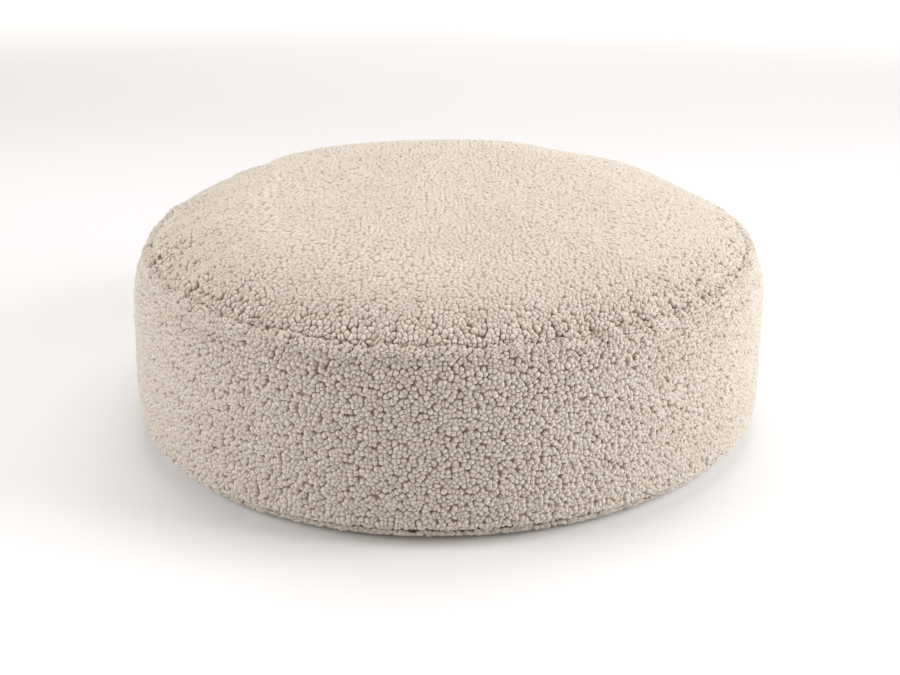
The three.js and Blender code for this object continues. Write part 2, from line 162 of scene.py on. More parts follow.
floor_paint, tree = new_material("matt_white_studio_floor")
here = add_node(tree, "ShaderNodeTexCoord").outputs["Object"]
tint = two_tone(tree, noise(tree, here, 2.0, 3.0)[0], "f1f4f8", "f9fbfe")
paint = add_node(tree, "ShaderNodeBsdfPrincipled", {"Base Color": tint, "Roughness": 0.9})
from_middle = add_node(tree, "ShaderNodeVectorMath", {0: here}, operation="LENGTH")
glow_start, glow_end = 2.0, 4.6
far_glow = ranged(tree, from_middle.outputs["Value"], glow_start, glow_end, 0.0, 0.68)
glow = add_node(tree, "ShaderNodeEmission", {"Color": colour("ffffff"), "Strength": far_glow})
lit_paint = add_node(tree, "ShaderNodeAddShader", {0: paint.outputs[0], 1: glow.outputs[0]})
finish_material(tree, lit_paint)

floor_size = 60
floor_drop = 0.0010  # the lowest curls of the pile sink in by this much
bpy.ops.mesh.primitive_plane_add(size=floor_size, location=(0, 0, -floor_drop))
studio_floor = bpy.context.object
studio_floor.name = "studio_floor"
studio_floor.data.materials.append(floor_paint)

room = bpy.data.worlds.new("studio_room")
bpy.context.scene.world = room
room.use_nodes = True
room.node_tree.nodes.clear()
room_glow = add_node(room.node_tree, "ShaderNodeBackground", {"Color": colour("fff1e4"), "Strength": 0.42})
backdrop = add_node(room.node_tree, "ShaderNodeBackground", {"Color": colour("f9f9f9"), "Strength": 1.0})
seen = add_node(room.node_tree, "ShaderNodeLightPath")
room_mix = add_node(
    room.node_tree,
    "ShaderNodeMixShader",
    {0: seen.outputs["Is Camera Ray"], 1: room_glow.outputs[0], 2: backdrop.outputs[0]},
)
add_node(room.node_tree, "ShaderNodeOutputWorld", {"Surface": room_mix.outputs[0]})
bpy.context.scene.view_settings.view_transform = "Standard"

# ------------------------------ top cover panel
# A disc of teddy fabric, stuffed into a low dome. The fabric is a woven backing with a pile of curled
# yarn about 8 mm thick, so its face is small rounded curls of all sizes with dark crevices between them.
outer_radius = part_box("cover_front_band")[1].x
crown_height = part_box("cover_top_panel")[1].z
seam_height = 0.240
seam_radius = outer_radius - 0.024
widest_height = 0.080
floor_radius = outer_radius - 0.033
zip_height = 0.060
crown_power = 5.45
shoulder_power = 7.1
foot_power = 3.76
fabric_thickness = 0.008
cloth_pitch = 0.0015  # between the points of the fabric's face
curl_pitch = 0.0055
curl_height = 0.0036
drift_reach = 0.007  # how far a curl may stand from its place in the cloth's even pattern
kink_reach = 0.0022  # how far a curl's outline may wander
seam_roll = 0.0048  # radius of the fabric's edge where it turns in to a seam
seam_depth = 0.010  # how deep the edge goes in
half_gap = 0.0001
back_depth = 0.0070  # deeper than this, a point is on the back of the fabric
fine_step = 0.0003  # between an outline's points before its cloth is laid

# How the sewn and stuffed cushion differs from a plain drum: shares of its radius, then metres.
oval = 0.0126
three_sided = 0.0097
three_turned = 0.0016
side_unevenness = 0.0016
seam_pull = 0.0022
left_ridge = 0.0095
right_hollow = 0.0040
groove = 0.0075
rear_slump = 0.014
ridge_drop = 0.0085  # from the top seam down to the ridge that its allowances lift
ridge_spread = 0.0065
seam_spread = 0.022
groove_spread = 0.007
seam_wander = 0.0018
seam_ripple = 0.0011
top_hollows = 0.0016
puckers = 0.0018


def crown_z(r):
    """Height of the dome at a distance from the middle."""
    return seam_height + (crown_height - seam_height) * (1 - (r / seam_radius) ** crown_power)


def side_r(z):
    """Radius of the side at a height."""
    up = np.clip((z - widest_height) / (seam_height - widest_height), 0, None)
    down = np.clip((widest_height - z) / widest_height, 0, 1)
    inset_up = (outer_radius - seam_radius) * up**shoulder_power
    inset_down = (outer_radius - floor_radius) * down**foot_power
    return outer_radius - inset_up - inset_down


def spaced(outline, pitch):
    """An outline's points at even steps along it."""
    outline = np.array(outline, float)
    run = np.concatenate([[0], np.cumsum(np.hypot(*np.diff(outline, axis=0).T))])
    steps = np.linspace(0, run[-1], max(2, round(run[-1] / pitch) + 1))
    return np.stack([np.interp(steps, run, column) for column in outline.T], axis=1)


def rolled(outline, seam_start, seam_end, roll=seam_roll, depth=seam_depth):
    """A fine outline whose ends roll inwards, like the edges of a stuffed panel at its seams.

    The outline runs from the crown towards the floor, so inwards is to the right of its direction."""
    outline = spaced(outline, fine_step)
    along = np.gradient(outline, axis=0)
    along /= np.linalg.norm(along, axis=1)[:, None]
    inwards = np.stack([along[:, 1], -along[:, 0]], axis=1)
    run = np.concatenate([[0], np.cumsum(np.hypot(*np.diff(outline, axis=0).T))])
    sunk = np.zeros(len(outline))
    for wanted, distance in ((seam_start, run), (seam_end, run[-1] - run)):
        if wanted:
            near = np.clip(roll - distance, 0, roll)
            sunk = np.maximum(sunk, roll - np.sqrt(np.clip(roll**2 - near**2, 0, None)))
    bent = outline + inwards * sunk[:, None]
    head = [outline[0] + inwards[0] * depth] if seam_start else []
    tail = [outline[-1] + inwards[-1] * depth] if seam_end else []
    return np.array([*head, *bent, *tail])


def place(piece, points):
    """Moves a mesh's points to new places."""
    piece.data.vertices.foreach_set("co", np.asarray(points, np.float32).ravel())
    piece.data.update()


def places(piece):
    """A mesh's points, one row each."""
    found = np.empty(len(piece.data.vertices) * 3, np.float32)
    piece.data.vertices.foreach_get("co", found)
    return found.reshape(-1, 3).astype(float)


def select_points(piece, wanted):
    """In edit mode, selects the points that a list of true and false names, and nothing else."""
    bpy.ops.object.mode_set(mode="OBJECT")
    piece.data.polygons.foreach_set("select", np.zeros(len(piece.data.polygons), bool))
    piece.data.edges.foreach_set("select", np.zeros(len(piece.data.edges), bool))
    piece.data.vertices.foreach_set("select", np.asarray(wanted, bool))
    bpy.ops.object.mode_set(mode="EDIT")


def waves(angle, seed, longest, shortest, count=7):
    """A smooth, repeating unevenness round the cushion, about 1 at most."""
    draw = np.random.default_rng(seed)
    girth = math.tau * outer_radius
    turns = draw.integers(round(girth / longest), round(girth / shortest), count)
    shifts = draw.uniform(0, math.tau, count)
    return sum(np.sin(n * angle + s) for n, s in zip(turns, shifts)) / math.sqrt(count)


def hollows(x, y, seed, longest, shortest, count=9):
    """A smooth unevenness over the top, about 1 at most."""
    draw = np.random.default_rng(seed)
    heading = draw.uniform(0, math.tau, count)
    step = math.tau / draw.uniform(shortest, longest, count)
    shifts = draw.uniform(0, math.tau, count)
    waves_there = [
        np.sin(k * (x * math.cos(a) + y * math.sin(a)) + s) for a, k, s in zip(heading, step, shifts)
    ]
    return sum(waves_there) / math.sqrt(count)


def eased(value, low, high):
    """0 below low, 1 above high, and smooth between."""
    share = np.clip((value - low) / (high - low), 0, 1)
    return share * share * (3 - 2 * share)


def close_to(value, middle, spread):
    """1 at a middle value, falling off to 0 over a spread."""
    return np.exp(-(((value - middle) / spread) ** 2))


def settled(points):
    """Where the points of a soft layer go once the cushion is sewn and stuffed.

    It is a little out of round, shallowly hollowed on top, and its seams wander. It stays true by the zip."""
    x, y, z = points.T
    angle, r = np.arctan2(y, x), np.hypot(x, y)
    rear = eased(y / np.maximum(r, 1e-6), -0.16, 0.05)
    loose = 1 - rear * (1 - eased(z, 0.100, 0.170))
    out = oval * np.sin(2 * angle) + three_sided * np.cos(3 * angle) - three_turned * np.sin(3 * angle)
    out = out + side_unevenness * waves(angle, 5, 0.5, 0.16) * eased(z, 0.02, 0.08)
    by_seam = close_to(z, seam_height, seam_spread) * eased(r, 0.30, 0.36)
    out = out - seam_pull * np.clip(waves(angle, 11, 0.10, 0.045), 0, 2) * by_seam
    front = eased(-y / outer_radius, 0.0, 0.2)
    left_front = front * eased(-x / outer_radius, -0.05, 0.25) * eased(x / outer_radius, -0.86, -0.64)
    right_front = front * eased(x / outer_radius, 0.05, 0.35)
    by_ridge = close_to(z, seam_height - ridge_drop, ridge_spread) * eased(r, 0.37, 0.38)
    out = out + (left_ridge * left_front - right_hollow * right_front) * by_ridge
    in_groove = close_to(z, seam_height, groove_spread) * eased(r, 0.34, 0.365)
    hollow = np.clip(0.3 + waves(angle, 21, 0.055, 0.028), 0, 2)
    out = out - groove * hollow * in_groove * right_front
    out = out - rear_slump * rear * eased(z, 0.225, 0.262)
    r = r * (1 + loose * out)
    seam_rise = seam_wander * waves(angle, 3, 0.22, 0.06) + seam_ripple * waves(angle, 9, 0.035, 0.015)
    z = z + loose * by_seam * seam_rise
    over = eased(z, 0.16, 0.27) * loose
    z = z + over * top_hollows * hollows(x, y, 8, 0.30, 0.11)
    puckered = over * eased(r, 0.24, 0.33) * eased(-x / outer_radius, 0.35, 0.75)
    z = z + puckered * puckers * waves(angle, 31, 0.12, 0.05)
    return np.stack([r * np.cos(angle), r * np.sin(angle), z], axis=1)


def depth_under(points):
    """How deep points lie under the cushion's plain outer surface."""
    x, y, z = points.T
    r = np.hypot(x, y)
    return np.minimum(np.minimum(side_r(z) - r, crown_z(np.minimum(r, outer_radius)) - z), z)


def curls(tree, cloth):
    """Nodes for the pile at a place on the cloth: its height, the way to its curl's rim, and its curl's tone.

    The height is 0 or less in a pit and 1 on a curl. The cloth drifts and kinks, so that no curls line up."""
    drift = noise(tree, cloth, 0.014, 1.0)["Color"]
    centred = vector_maths(tree, "SUBTRACT", drift, (0.5, 0.5, 0.5))
    bend = vector_maths(tree, "MULTIPLY_ADD", centred, (drift_reach,) * 3, cloth)
    kinks = noise(tree, cloth, 0.0042, 1.0)["Color"]
    about = vector_maths(tree, "SUBTRACT", kinks, (0.5, 0.5, 0.5))
    kinked = vector_maths(tree, "MULTIPLY_ADD", about, (kink_reach,) * 3, bend)
    cells = {"Vector": kinked, "Scale": 1 / curl_pitch}
    near = add_node(tree, "ShaderNodeTexVoronoi", cells, voronoi_dimensions="2D").outputs
    edges = {"voronoi_dimensions": "2D", "feature": "DISTANCE_TO_EDGE"}
    rim = add_node(tree, "ShaderNodeTexVoronoi", cells, **edges).outputs["Distance"]
    reach = ranged(tree, near["Distance"], 0.0, 0.72)
    dome = maths(tree, "POWER", maths(tree, "SUBTRACT", 1.0, maths(tree, "POWER", reach, 2.0)), 0.5)
    crease = ranged(tree, rim, 0.0, 0.16, -0.42, 0.0, interpolation_type="SMOOTHERSTEP")
    return maths(tree, "ADD", dome, crease), rim, near["Color"]


pile = bpy.data.node_groups.new("curled_pile", "GeometryNodeTree")
pile.interface.new_socket("Geometry", in_out="INPUT", socket_type="NodeSocketGeometry")
pile.interface.new_socket("Geometry", in_out="OUTPUT", socket_type="NodeSocketGeometry")
pile_in = add_node(pile, "NodeGroupInput").outputs[0]
named = "GeometryNodeInputNamedAttribute"
laid = add_node(pile, named, {"Name": "cloth"}, data_type="FLOAT_VECTOR").outputs[0]
facing = add_node(pile, "GeometryNodeInputNormal").outputs[0]
grown = add_node(pile, named, {"Name": "pile"}, data_type="FLOAT").outputs[0]
pile_height, _, _ = curls(pile, laid)
clumps = noise(pile, laid, 0.016, 2.0, Roughness=0.6)[0]
clump_rise = maths(pile, "MULTIPLY_ADD", clumps, 1.3, -1.25)
lift = maths(pile, "MULTIPLY", maths(pile, "ADD", pile_height, clump_rise), curl_height)
push = {0: facing, "Scale": maths(pile, "MULTIPLY", lift, grown)}
moved = add_node(pile, "ShaderNodeVectorMath", push, operation="SCALE").outputs[0]
raised = add_node(pile, "GeometryNodeSetPosition", {"Geometry": pile_in, "Offset": moved}).outputs[0]
add_node(pile, "NodeGroupOutput", {"Geometry": raised})

# Teddy fabric: matt polyester curls, each of its own pale tone, with painted brown shade down in the crevices
# and along each curl's rim. The painted shade is patchy, and weaker where the pile lies flat.
teddy, tree = new_material("curled_pile_teddy_fabric")
cloth_at = add_node(tree, "ShaderNodeAttribute", attribute_name="cloth").outputs["Vector"]
standing = add_node(tree, "ShaderNodeAttribute", attribute_name="pile").outputs["Fac"]
curl, rim_distance, curl_tone = curls(tree, cloth_at)
# Painted shade: the curls' colour is drawn towards dark brown in the pits between curls and along each curl's
# rim.
pit = maths(tree, "POWER", ranged(tree, curl, 0.05, 0.72, 1.0, 0.0), 1.3)
crack_painted_shade = ranged(tree, rim_distance, 0.0, 0.13, 0.95, 0.0, interpolation_type="SMOOTHERSTEP")
patchy = ranged(tree, noise(tree, cloth_at, 0.010)[0], 0.30, 0.62, 0.30, 1.0)
patchy_painted_shade = maths(tree, "MULTIPLY", maths(tree, "MAXIMUM", pit, crack_painted_shade), patchy)
shade = maths(tree, "MULTIPLY", patchy_painted_shade, ranged(tree, standing, 0.0, 1.0, 0.25, 0.92))
fibres = noise(tree, cloth_at, 0.0022, 3.0, Roughness=0.7, Distortion=1.5)[0]
tone = add_node(tree, "ShaderNodeSeparateColor", {"Color": curl_tone}).outputs[0]
strand_tone = maths(tree, "MULTIPLY_ADD", ranged(tree, fibres, 0.3, 0.7), 0.5, tone)
curl_colour = two_tone(tree, strand_tone, "cdc3b7", "dad3c9")
# The dark brown that the painted shade in the crevices mixes in.
shaded = {"Factor": shade, 6: curl_colour, 7: colour("87674f")}
fuzz = maths(tree, "MULTIPLY_ADD", fibres, 0.35, curl)
surfaced(
    tree,
    {
        "Base Color": add_node(tree, "ShaderNodeMix", shaded, data_type="RGBA").outputs[2],
        "Roughness": 0.95,
        "Specular IOR Level": 0.15,
        "Sheen Weight": 0.9,
        "Sheen Roughness": 0.6,
        "Sheen Tint": colour("fff6ea"),
        "Normal": bumped(tree, fuzz, 0.45, curl_height * 0.6),
    },
)


def lay_cloth(piece, cloth, depth):
    """Keeps where each point lies on the flat cloth, in metres, for the pile and the weave to follow.

    The same places, scaled, make the piece's UV map, with the cloth's back laid out beside its face."""
    flat = np.column_stack([cloth, np.zeros(len(cloth))]).astype(np.float32)
    piece.data.attributes.new("cloth", "FLOAT_VECTOR", "POINT").data.foreach_set("vector", flat.ravel())
    corner_points = np.empty(len(piece.data.loops), np.int32)
    piece.data.loops.foreach_get("vertex_index", corner_points)
    starts = np.empty(len(piece.data.polygons), np.int32)
    piece.data.polygons.foreach_get("loop_start", starts)
    counts = np.diff([*starts, len(corner_points)])
    at_back = np.repeat(np.minimum.reduceat(depth[corner_points], starts) > back_depth, counts)
    share = (cloth - cloth.min(axis=0)) / np.ptp(cloth, axis=0)
    across, up = share[corner_points].T
    face_size, back_size, border = 0.79, 0.19, 0.005
    up = np.where(at_back, border + up * (back_size - 2 * border), back_size + border + up * face_size)
    laid_out = piece.data.uv_layers.new(name="OFBake")
    laid_out.uv.foreach_set("vector", np.column_stack([across, up]).astype(np.float32).ravel())


def grow_pile(piece, cloth, floor_share=0.2, top_share=0.47, zip_share=0.5):
    """Settles a cover panel, then raises the curls of its pile as real geometry.

    Sitting brushes the pile on the top down, the cushion's weight presses it flat on the floor, and by the
    zip it is trimmed."""
    points = places(piece)
    lay_cloth(piece, cloth, depth_under(points))
    grown = piece.data.attributes.new("pile", "FLOAT", "POINT")
    weight = 1 - eased(depth_under(points), seam_roll * 0.9, seam_depth * 0.9)
    standing = floor_share + (1 - floor_share) * eased(points[:, 2], 0.0, 0.004)
    standing *= 1 - (1 - top_share) * eased(points[:, 2], seam_height + 0.006, crown_height - 0.015)
    by_zip = (1 - eased(np.abs(points[:, 2] - zip_height), 0.007, 0.013)) * (points[:, 1] > 0)
    standing *= 1 - (1 - zip_share) * by_zip
    grown.data.foreach_set("value", (weight * standing).astype(np.float32))
    place(piece, settled(points))
    modifier = piece.modifiers.new("curled_pile", "NODES")
    modifier.node_group = pile
    bpy.context.view_layer.objects.active = piece
    bpy.ops.object.modifier_apply(modifier=modifier.name)
    piece.data.polygons.foreach_set("use_smooth", np.ones(len(piece.data.polygons), bool))
    piece.data.materials.clear()
    piece.data.materials.append(teddy)


def flat_disc(points):
    """Where the points of a round panel lie on the flat cloth that it was cut from."""
    x, y, _ = points.T
    r = np.maximum(np.hypot(x, y), 1e-6)
    run_in = 1 + depth_under(points) / r
    return np.stack([x * run_in, y * run_in], axis=1)


def flat_strip(points, outline):
    """Where the points of a panel swept from an outline lie on a flat strip.

    The strip's upper edge is eased in to the seam, so its curls are drawn closer there."""
    outline = np.array(outline)
    run = np.concatenate([[0], np.cumsum(np.hypot(*np.diff(outline, axis=0).T))])
    eased_in, eased_by, eased_over = 0.006, 0.018, 0.009
    run = run + eased_in * np.tanh((run - eased_by) / eased_over)
    angle = np.arctan2(points[:, 1], points[:, 0]) % math.tau
    return np.stack([angle * outer_radius, -run[np.arange(len(points)) % len(outline)]], axis=1)


def flat_band(points, cut=0.13):
    """Where the points of a side band lie on the flat strip that it was cut from."""
    x, y, z = points.T
    turned_in = np.sign(z - cut) * depth_under(points)
    return np.stack([(np.arctan2(y, x) % math.tau) * outer_radius, z + turned_in], axis=1)


def stand_for(piece, node, body="cushion"):
    """Hides the CAD part that a piece takes the place of, and makes the piece move with a body."""
    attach(piece, body)
    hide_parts(node)


def dress(piece, node):
    """Hides the CAD part that a stuffed piece takes the place of, and makes it move with the cushion."""
    stand_for(piece, node)


def disc(name, face, underside, pitch):
    """A closed, round panel: a fine grid bent to the outline of its face, and rings that close it behind.

    Outlines are in [radius, height]: the face's from the middle out, the underside's from the edge in."""
    face = spaced(face, fine_step)
    run = np.concatenate([[0], np.cumsum(np.hypot(*np.diff(face, axis=0).T))])
    across = round(2 * run[-1] / pitch)
    bpy.ops.mesh.primitive_grid_add(x_subdivisions=across, y_subdivisions=across, size=2)
    piece = bpy.context.object
    piece.name = name
    a, b, _ = places(piece).T
    wide = np.abs(a) > np.abs(b)
    share = np.where(wide, a, b)
    safe = np.where(share == 0, 1, share)
    angle = np.where(wide, (math.pi / 4) * b / safe, math.pi / 2 - (math.pi / 4) * a / safe)
    r = np.interp(np.abs(share) * run[-1], run, face[:, 0]) * np.sign(share)
    z = np.interp(np.abs(share) * run[-1], run, face[:, 1])
    place(piece, np.stack([r * np.cos(angle), r * np.sin(angle), z], axis=1))
    edge = np.abs(share) > 1 - 1e-6
    select_points(piece, edge)
    for r, z in underside:
        bpy.ops.mesh.extrude_edges_move()
        bpy.ops.object.mode_set(mode="OBJECT")
        chosen = np.empty(len(piece.data.vertices), bool)
        piece.data.vertices.foreach_get("select", chosen)
        points = places(piece)
        ring = points[chosen]
        length = np.hypot(ring[:, 0], ring[:, 1])[:, None]
        points[chosen, :2] = ring[:, :2] / length * r
        points[chosen, 2] = z
        place(piece, points)
        bpy.ops.object.mode_set(mode="EDIT")
    bpy.ops.mesh.merge(type="CENTER")
    bpy.ops.mesh.select_all(action="SELECT")
    bpy.ops.mesh.normals_make_consistent(inside=False)
    bpy.ops.object.mode_set(mode="OBJECT")
    return piece


crown_radii = np.linspace(0, seam_radius, 600)
crown_line = np.stack([crown_radii, crown_z(crown_radii)], axis=1)
crown_face = rolled(crown_line, False, True)
crown_behind = [
    (crown_face[-1][0] - 0.0028, crown_face[-1][1] - 0.0022),
    (seam_radius - 0.016, crown_z(seam_radius - 0.013) - 0.0105),
    (seam_radius - 0.050, crown_z(seam_radius - 0.047) - 0.0095),
    (seam_radius - 0.110, crown_z(seam_radius - 0.110) - fabric_thickness),
    (seam_radius * 0.4, crown_z(seam_radius * 0.4) - fabric_thickness),
    (seam_radius * 0.1, crown_height - fabric_thickness),
]
top_panel = disc("stuffed_top_panel", crown_face, crown_behind, cloth_pitch)
grow_pile(top_panel, flat_disc(places(top_panel)))
dress(top_panel, "cover_top_panel")

# ------------------------------ side band, front
# The front half of the side, cut from one strip of the same fabric. Its top edge rolls over the seam
# allowance, which lifts it in a soft ridge under the seam, and its foot bulges over the base seam.
base_seam_height = 0.018
ridge_out = 0.0026
ridge_up = 0.0014
dip_in = 0.0016
foot_out = 0.0042
end_roll = seam_roll * 0.33  # at the upright seams
behind_top = seam_height - 0.014  # where the back of the band starts and ends
behind_base = base_seam_height + 0.013


def side_line(top, bottom):
    """The side's outline between two heights, from the top down."""
    heights = np.linspace(top, bottom, 400)
    return np.stack([side_r(heights), heights], axis=1)


def ridged(line):
    """An outline of the side, lifted a little where the seam allowances lie behind it."""
    under_top = close_to(line[:, 1], seam_height - ridge_drop, 0.0055)
    below_ridge = close_to(line[:, 1], seam_height - 0.021, 0.006)
    over_base = close_to(line[:, 1], base_seam_height + 0.008, 0.007)
    lifted = line.copy()
    lifted[:, 0] += ridge_out * under_top - dip_in * below_ridge + foot_out * over_base
    lifted[:, 1] += ridge_up * under_top
    return lifted


def swept(name, outline, start, sweep, pitch):
    """A closed panel made by drawing its outline, [radius, height], and turning it about the cushion."""
    outline = np.array(outline)
    bpy.ops.mesh.primitive_circle_add(vertices=len(outline), fill_type="NOTHING")
    piece = bpy.context.object
    piece.name = name
    r, z = outline.T
    place(piece, np.stack([r * math.cos(start), r * math.sin(start), z], axis=1))
    turn = piece.modifiers.new("turn", "SCREW")
    turn.axis = "Z"
    turn.angle = sweep
    turn.steps = turn.render_steps = round(sweep * outer_radius / pitch)
    turn.use_merge_vertices = sweep == math.tau
    turn.merge_threshold = 1e-5
    bpy.ops.object.modifier_apply(modifier="turn")
    bpy.ops.object.mode_set(mode="EDIT")
    if sweep < math.tau:
        for end in (start, start + sweep):
            select_points(piece, at_angle(places_now(piece), end))
            bpy.ops.mesh.edge_face_add()
    bpy.ops.mesh.select_all(action="SELECT")
    bpy.ops.mesh.normals_make_consistent(inside=False)
    bpy.ops.object.mode_set(mode="OBJECT")
    return piece


def places_now(piece):
    """The points of a mesh that is in edit mode."""
    bpy.ops.object.mode_set(mode="OBJECT")
    found = places(piece)
    bpy.ops.object.mode_set(mode="EDIT")
    return found


def at_angle(points, angle):
    """Which points lie on the upright half plane at an angle round the cushion."""
    across = points[:, 1] * math.cos(angle) - points[:, 0] * math.sin(angle)
    ahead = points[:, 0] * math.cos(angle) + points[:, 1] * math.sin(angle)
    return (np.abs(across) < 1e-5) & (ahead > 0)


def tuck_ends(piece, start, sweep):
    """Rolls a band's two ends in to the upright seams at the sides."""
    points = places(piece)
    angle = np.mod(np.arctan2(points[:, 1], points[:, 0]) - start + 0.5, math.tau) - 0.5
    r = np.hypot(points[:, 0], points[:, 1])
    to_end = np.minimum(angle, sweep - angle) * outer_radius
    near = np.clip(end_roll - to_end, 0, end_roll)
    sunk = end_roll - np.sqrt(np.clip(end_roll**2 - near**2, 0, None))
    on_face = 1 - eased(depth_under(points), 0.002, fabric_thickness * 0.8)
    shrunk = (r - sunk * on_face) / r
    points[:, :2] *= shrunk[:, None]
    place(piece, points)


def behind(line, depth):
    """An outline that runs back behind the side at a depth."""
    return [(r - depth, z) for r, z in line[::-1]]


end_gap = half_gap / outer_radius
band_face = spaced(rolled(ridged(side_line(seam_height, base_seam_height)), True, True), cloth_pitch)
band_behind = behind(spaced(side_line(behind_top, behind_base), 0.03), fabric_thickness)
band_outline = [*band_face, *band_behind]
half_turn = math.pi - 2 * end_gap
front_band = swept("front_side_band", band_outline, math.pi + end_gap, half_turn, cloth_pitch)
band_cloth = flat_strip(places(front_band), band_outline)
tuck_ends(front_band, math.pi + end_gap, half_turn)
grow_pile(front_band, band_cloth)
dress(front_band, "cover_front_band")

# ------------------------------ side band, rear
# The rear half of the side is two strips of the same fabric, with the zip set between their folded edges. The
# folds stand a little apart, and their pile is trimmed, so that the slider runs clear.
upper_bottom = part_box("cover_rear_band_upper")[0].z
lower_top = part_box("cover_rear_band_lower")[1].z
fold = 0.0030


def folded(outline, at_start):
    """An outline with one end folded softly back over the zip tape, and the other rolled in to its seam."""
    soft = rolled(outline, at_start, not at_start, fold, fold)
    sewn = rolled(outline, not at_start, at_start)
    half = len(spaced(outline, fine_step)) // 2
    if at_start:
        return np.array([*soft[: half + 1], *sewn[half:]])
    return np.array([*sewn[: half + 1], *soft[half:]])


def rear_strip(name, node, top, bottom, fold_on_top, back, back_pitch):
    """One of the two strips, with its back between two heights."""
    face = spaced(folded(ridged(side_line(top, bottom)), fold_on_top), cloth_pitch)
    outline = [*face, *behind(spaced(side_line(*back), back_pitch), fabric_thickness)]
    piece = swept(name, outline, end_gap, half_turn, cloth_pitch)
    cloth = flat_strip(places(piece), outline)
    tuck_ends(piece, end_gap, half_turn)
    grow_pile(piece, cloth)
    dress(piece, node)


upper_back, lower_back = (behind_top, upper_bottom), (lower_top, behind_base)
rear_strip(
    "rear_band_above_zip", "cover_rear_band_upper", seam_height, upper_bottom, False, upper_back, 0.03
)
rear_strip(
    "rear_band_below_zip", "cover_rear_band_lower", lower_top, base_seam_height, True, lower_back, 0.02
)

# ------------------------------ base cover panel
# A second disc of the same fabric. Its edge turns up round the foot, in a small roll, to the base seam, which
# is tucked in under the side. The pile under the cushion is pressed flat by its weight.
base_pitch = 0.0034
tucked = 0.0036
foot_bulge = 0.0070
base_heights = np.linspace(0.0, base_seam_height, 120)
bulging = foot_bulge * np.sin(np.pi * base_heights / base_seam_height) ** 0.8
base_edge = np.stack([side_r(base_heights) - tucked + bulging, base_heights], axis=1)
base_line = np.array([[0.0, 0.0], *base_edge])
base_face = rolled(base_line[::-1], True, False)[::-1]
base_behind = [
    (base_face[-1][0] - 0.0030, base_face[-1][1] + 0.0006),
    (floor_radius - 0.012, 0.0095),
    (floor_radius * 0.7, fabric_thickness),
    (floor_radius * 0.2, fabric_thickness),
]
base_panel = disc("base_panel", base_face, base_behind, base_pitch)
grow_pile(base_panel, flat_disc(places(base_panel)))
dress(base_panel, "cover_base_panel")

# ------------------------------ stitching
# Bonded polyester sewing thread, two strands twisted together. Each seam is one row of short lockstitches
# that lie deep in the fold between two panels, where the pile all but hides them.
stitch_length = 0.0038
thread_width = 0.0009
stitch_overlap = 1.06
cover_stitch_depth = 0.0048

# Sewing thread: a soft shine on each strand, and painted shade in the dark twist lines between the strands.
thread, tree = new_material("twisted_polyester_thread")
here = add_node(tree, "ShaderNodeTexCoord").outputs["Object"]
turns = {"Vector": here, "Scale": 1 / 0.0045, "Distortion": 1.0, "Detail": 2.0}
twist = add_node(tree, "ShaderNodeTexWave", turns, bands_direction="DIAGONAL").outputs["Fac"]
surfaced(
    tree,
    {
        # Painted shade: the colour darkens in the twist lines between the strands.
        "Base Color": two_tone(tree, twist, "b3a28e", "d9cbb9"),
        "Roughness": 0.55,
        "Sheen Weight": 0.15,
        "Sheen Tint": colour("fff6ea"),
        "Normal": bumped(tree, twist, 0.5, 0.0002),
    },
)


def copied(piece, count):
    """Copies a small shape into one mesh, and gives each copy's points as its own block."""
    copies = piece.modifiers.new("copies", "ARRAY")
    copies.count = count
    copies.use_relative_offset = False
    bpy.ops.object.modifier_apply(modifier="copies")
    return places(piece).reshape(count, -1, 3)


def laid_along(piece, shapes, centres, along, across, out):
    """Puts each copy at its centre, its x, y and z along three directions."""
    spots = centres[:, None] + shapes[..., :1] * along[:, None] + shapes[..., 1:2] * across[:, None]
    place(piece, (spots + shapes[..., 2:] * out[:, None]).reshape(-1, 3))
    piece.data.polygons.foreach_set("use_smooth", np.ones(len(piece.data.polygons), bool))


def unit(rows):
    """Each row as a vector of length one."""
    return rows / np.linalg.norm(rows, axis=1)[:, None]


def stitches(name, path, node):
    """A row of stitches through the points of a path, each a slim grain that dips in at its ends."""
    bpy.ops.mesh.primitive_uv_sphere_add(segments=6, ring_count=5, radius=0.5, rotation=(0, math.pi / 2, 0))
    bpy.ops.object.transform_apply(location=False, rotation=True, scale=False)
    piece = bpy.context.object
    piece.name = name
    shapes = copied(piece, len(path) - 1)
    gap = path[1:] - path[:-1]
    centres = (path[1:] + path[:-1]) / 2
    outward = unit(centres * (1, 1, 0))
    across = unit(np.cross(outward, gap))
    out = unit(np.cross(gap, across))
    laid_along(piece, shapes, centres, gap * stitch_overlap, across * thread_width, out * thread_width)
    piece.data.materials.append(thread)
    stand_for(piece, node)


def ring_path(r, z):
    """Points a stitch apart round the cushion."""
    angle = np.linspace(0, math.tau, round(math.tau * r / stitch_length) + 1)
    return settled(np.stack([r * np.cos(angle), r * np.sin(angle), np.full(len(angle), z)], axis=1))


def under_crown(r, depth):
    """A point under the dome, [radius, height], at a depth below the place at a distance from the middle."""
    slope = -(crown_height - seam_height) * crown_power / seam_radius * (r / seam_radius) ** (crown_power - 1)
    length = np.hypot(1, slope)
    return np.stack([r + slope / length * depth, crown_z(r) - depth / length], axis=-1)


def under_side(z, depth):
    """A point behind the side, [radius, height], at a depth behind the place at a height."""
    step = 1e-4
    lean = (side_r(z + step) - side_r(z - step)) / (2 * step)
    length = np.hypot(1, lean)
    return np.stack([side_r(z) - depth / length, z + lean * depth / length], axis=-1)


for where, seam_at in (("top", seam_height), ("base", base_seam_height)):
    ring = ring_path(*under_side(seam_at, cover_stitch_depth))
    stitches(f"{where}_seam_stitches", ring, f"{where}_seam_thread")

side_heights = np.arange(0.034, 0.222, stitch_length)
side_r_behind, side_z_behind = under_side(side_heights, fabric_thickness + 0.0006).T
for side, end in (("right", 0.0), ("left", math.pi)):
    upright = [side_r_behind * math.cos(end), side_r_behind * math.sin(end), side_z_behind]
    stitches(f"side_seam_stitches_{side}", settled(np.stack(upright, axis=1)), f"side_seam_thread_{side}")

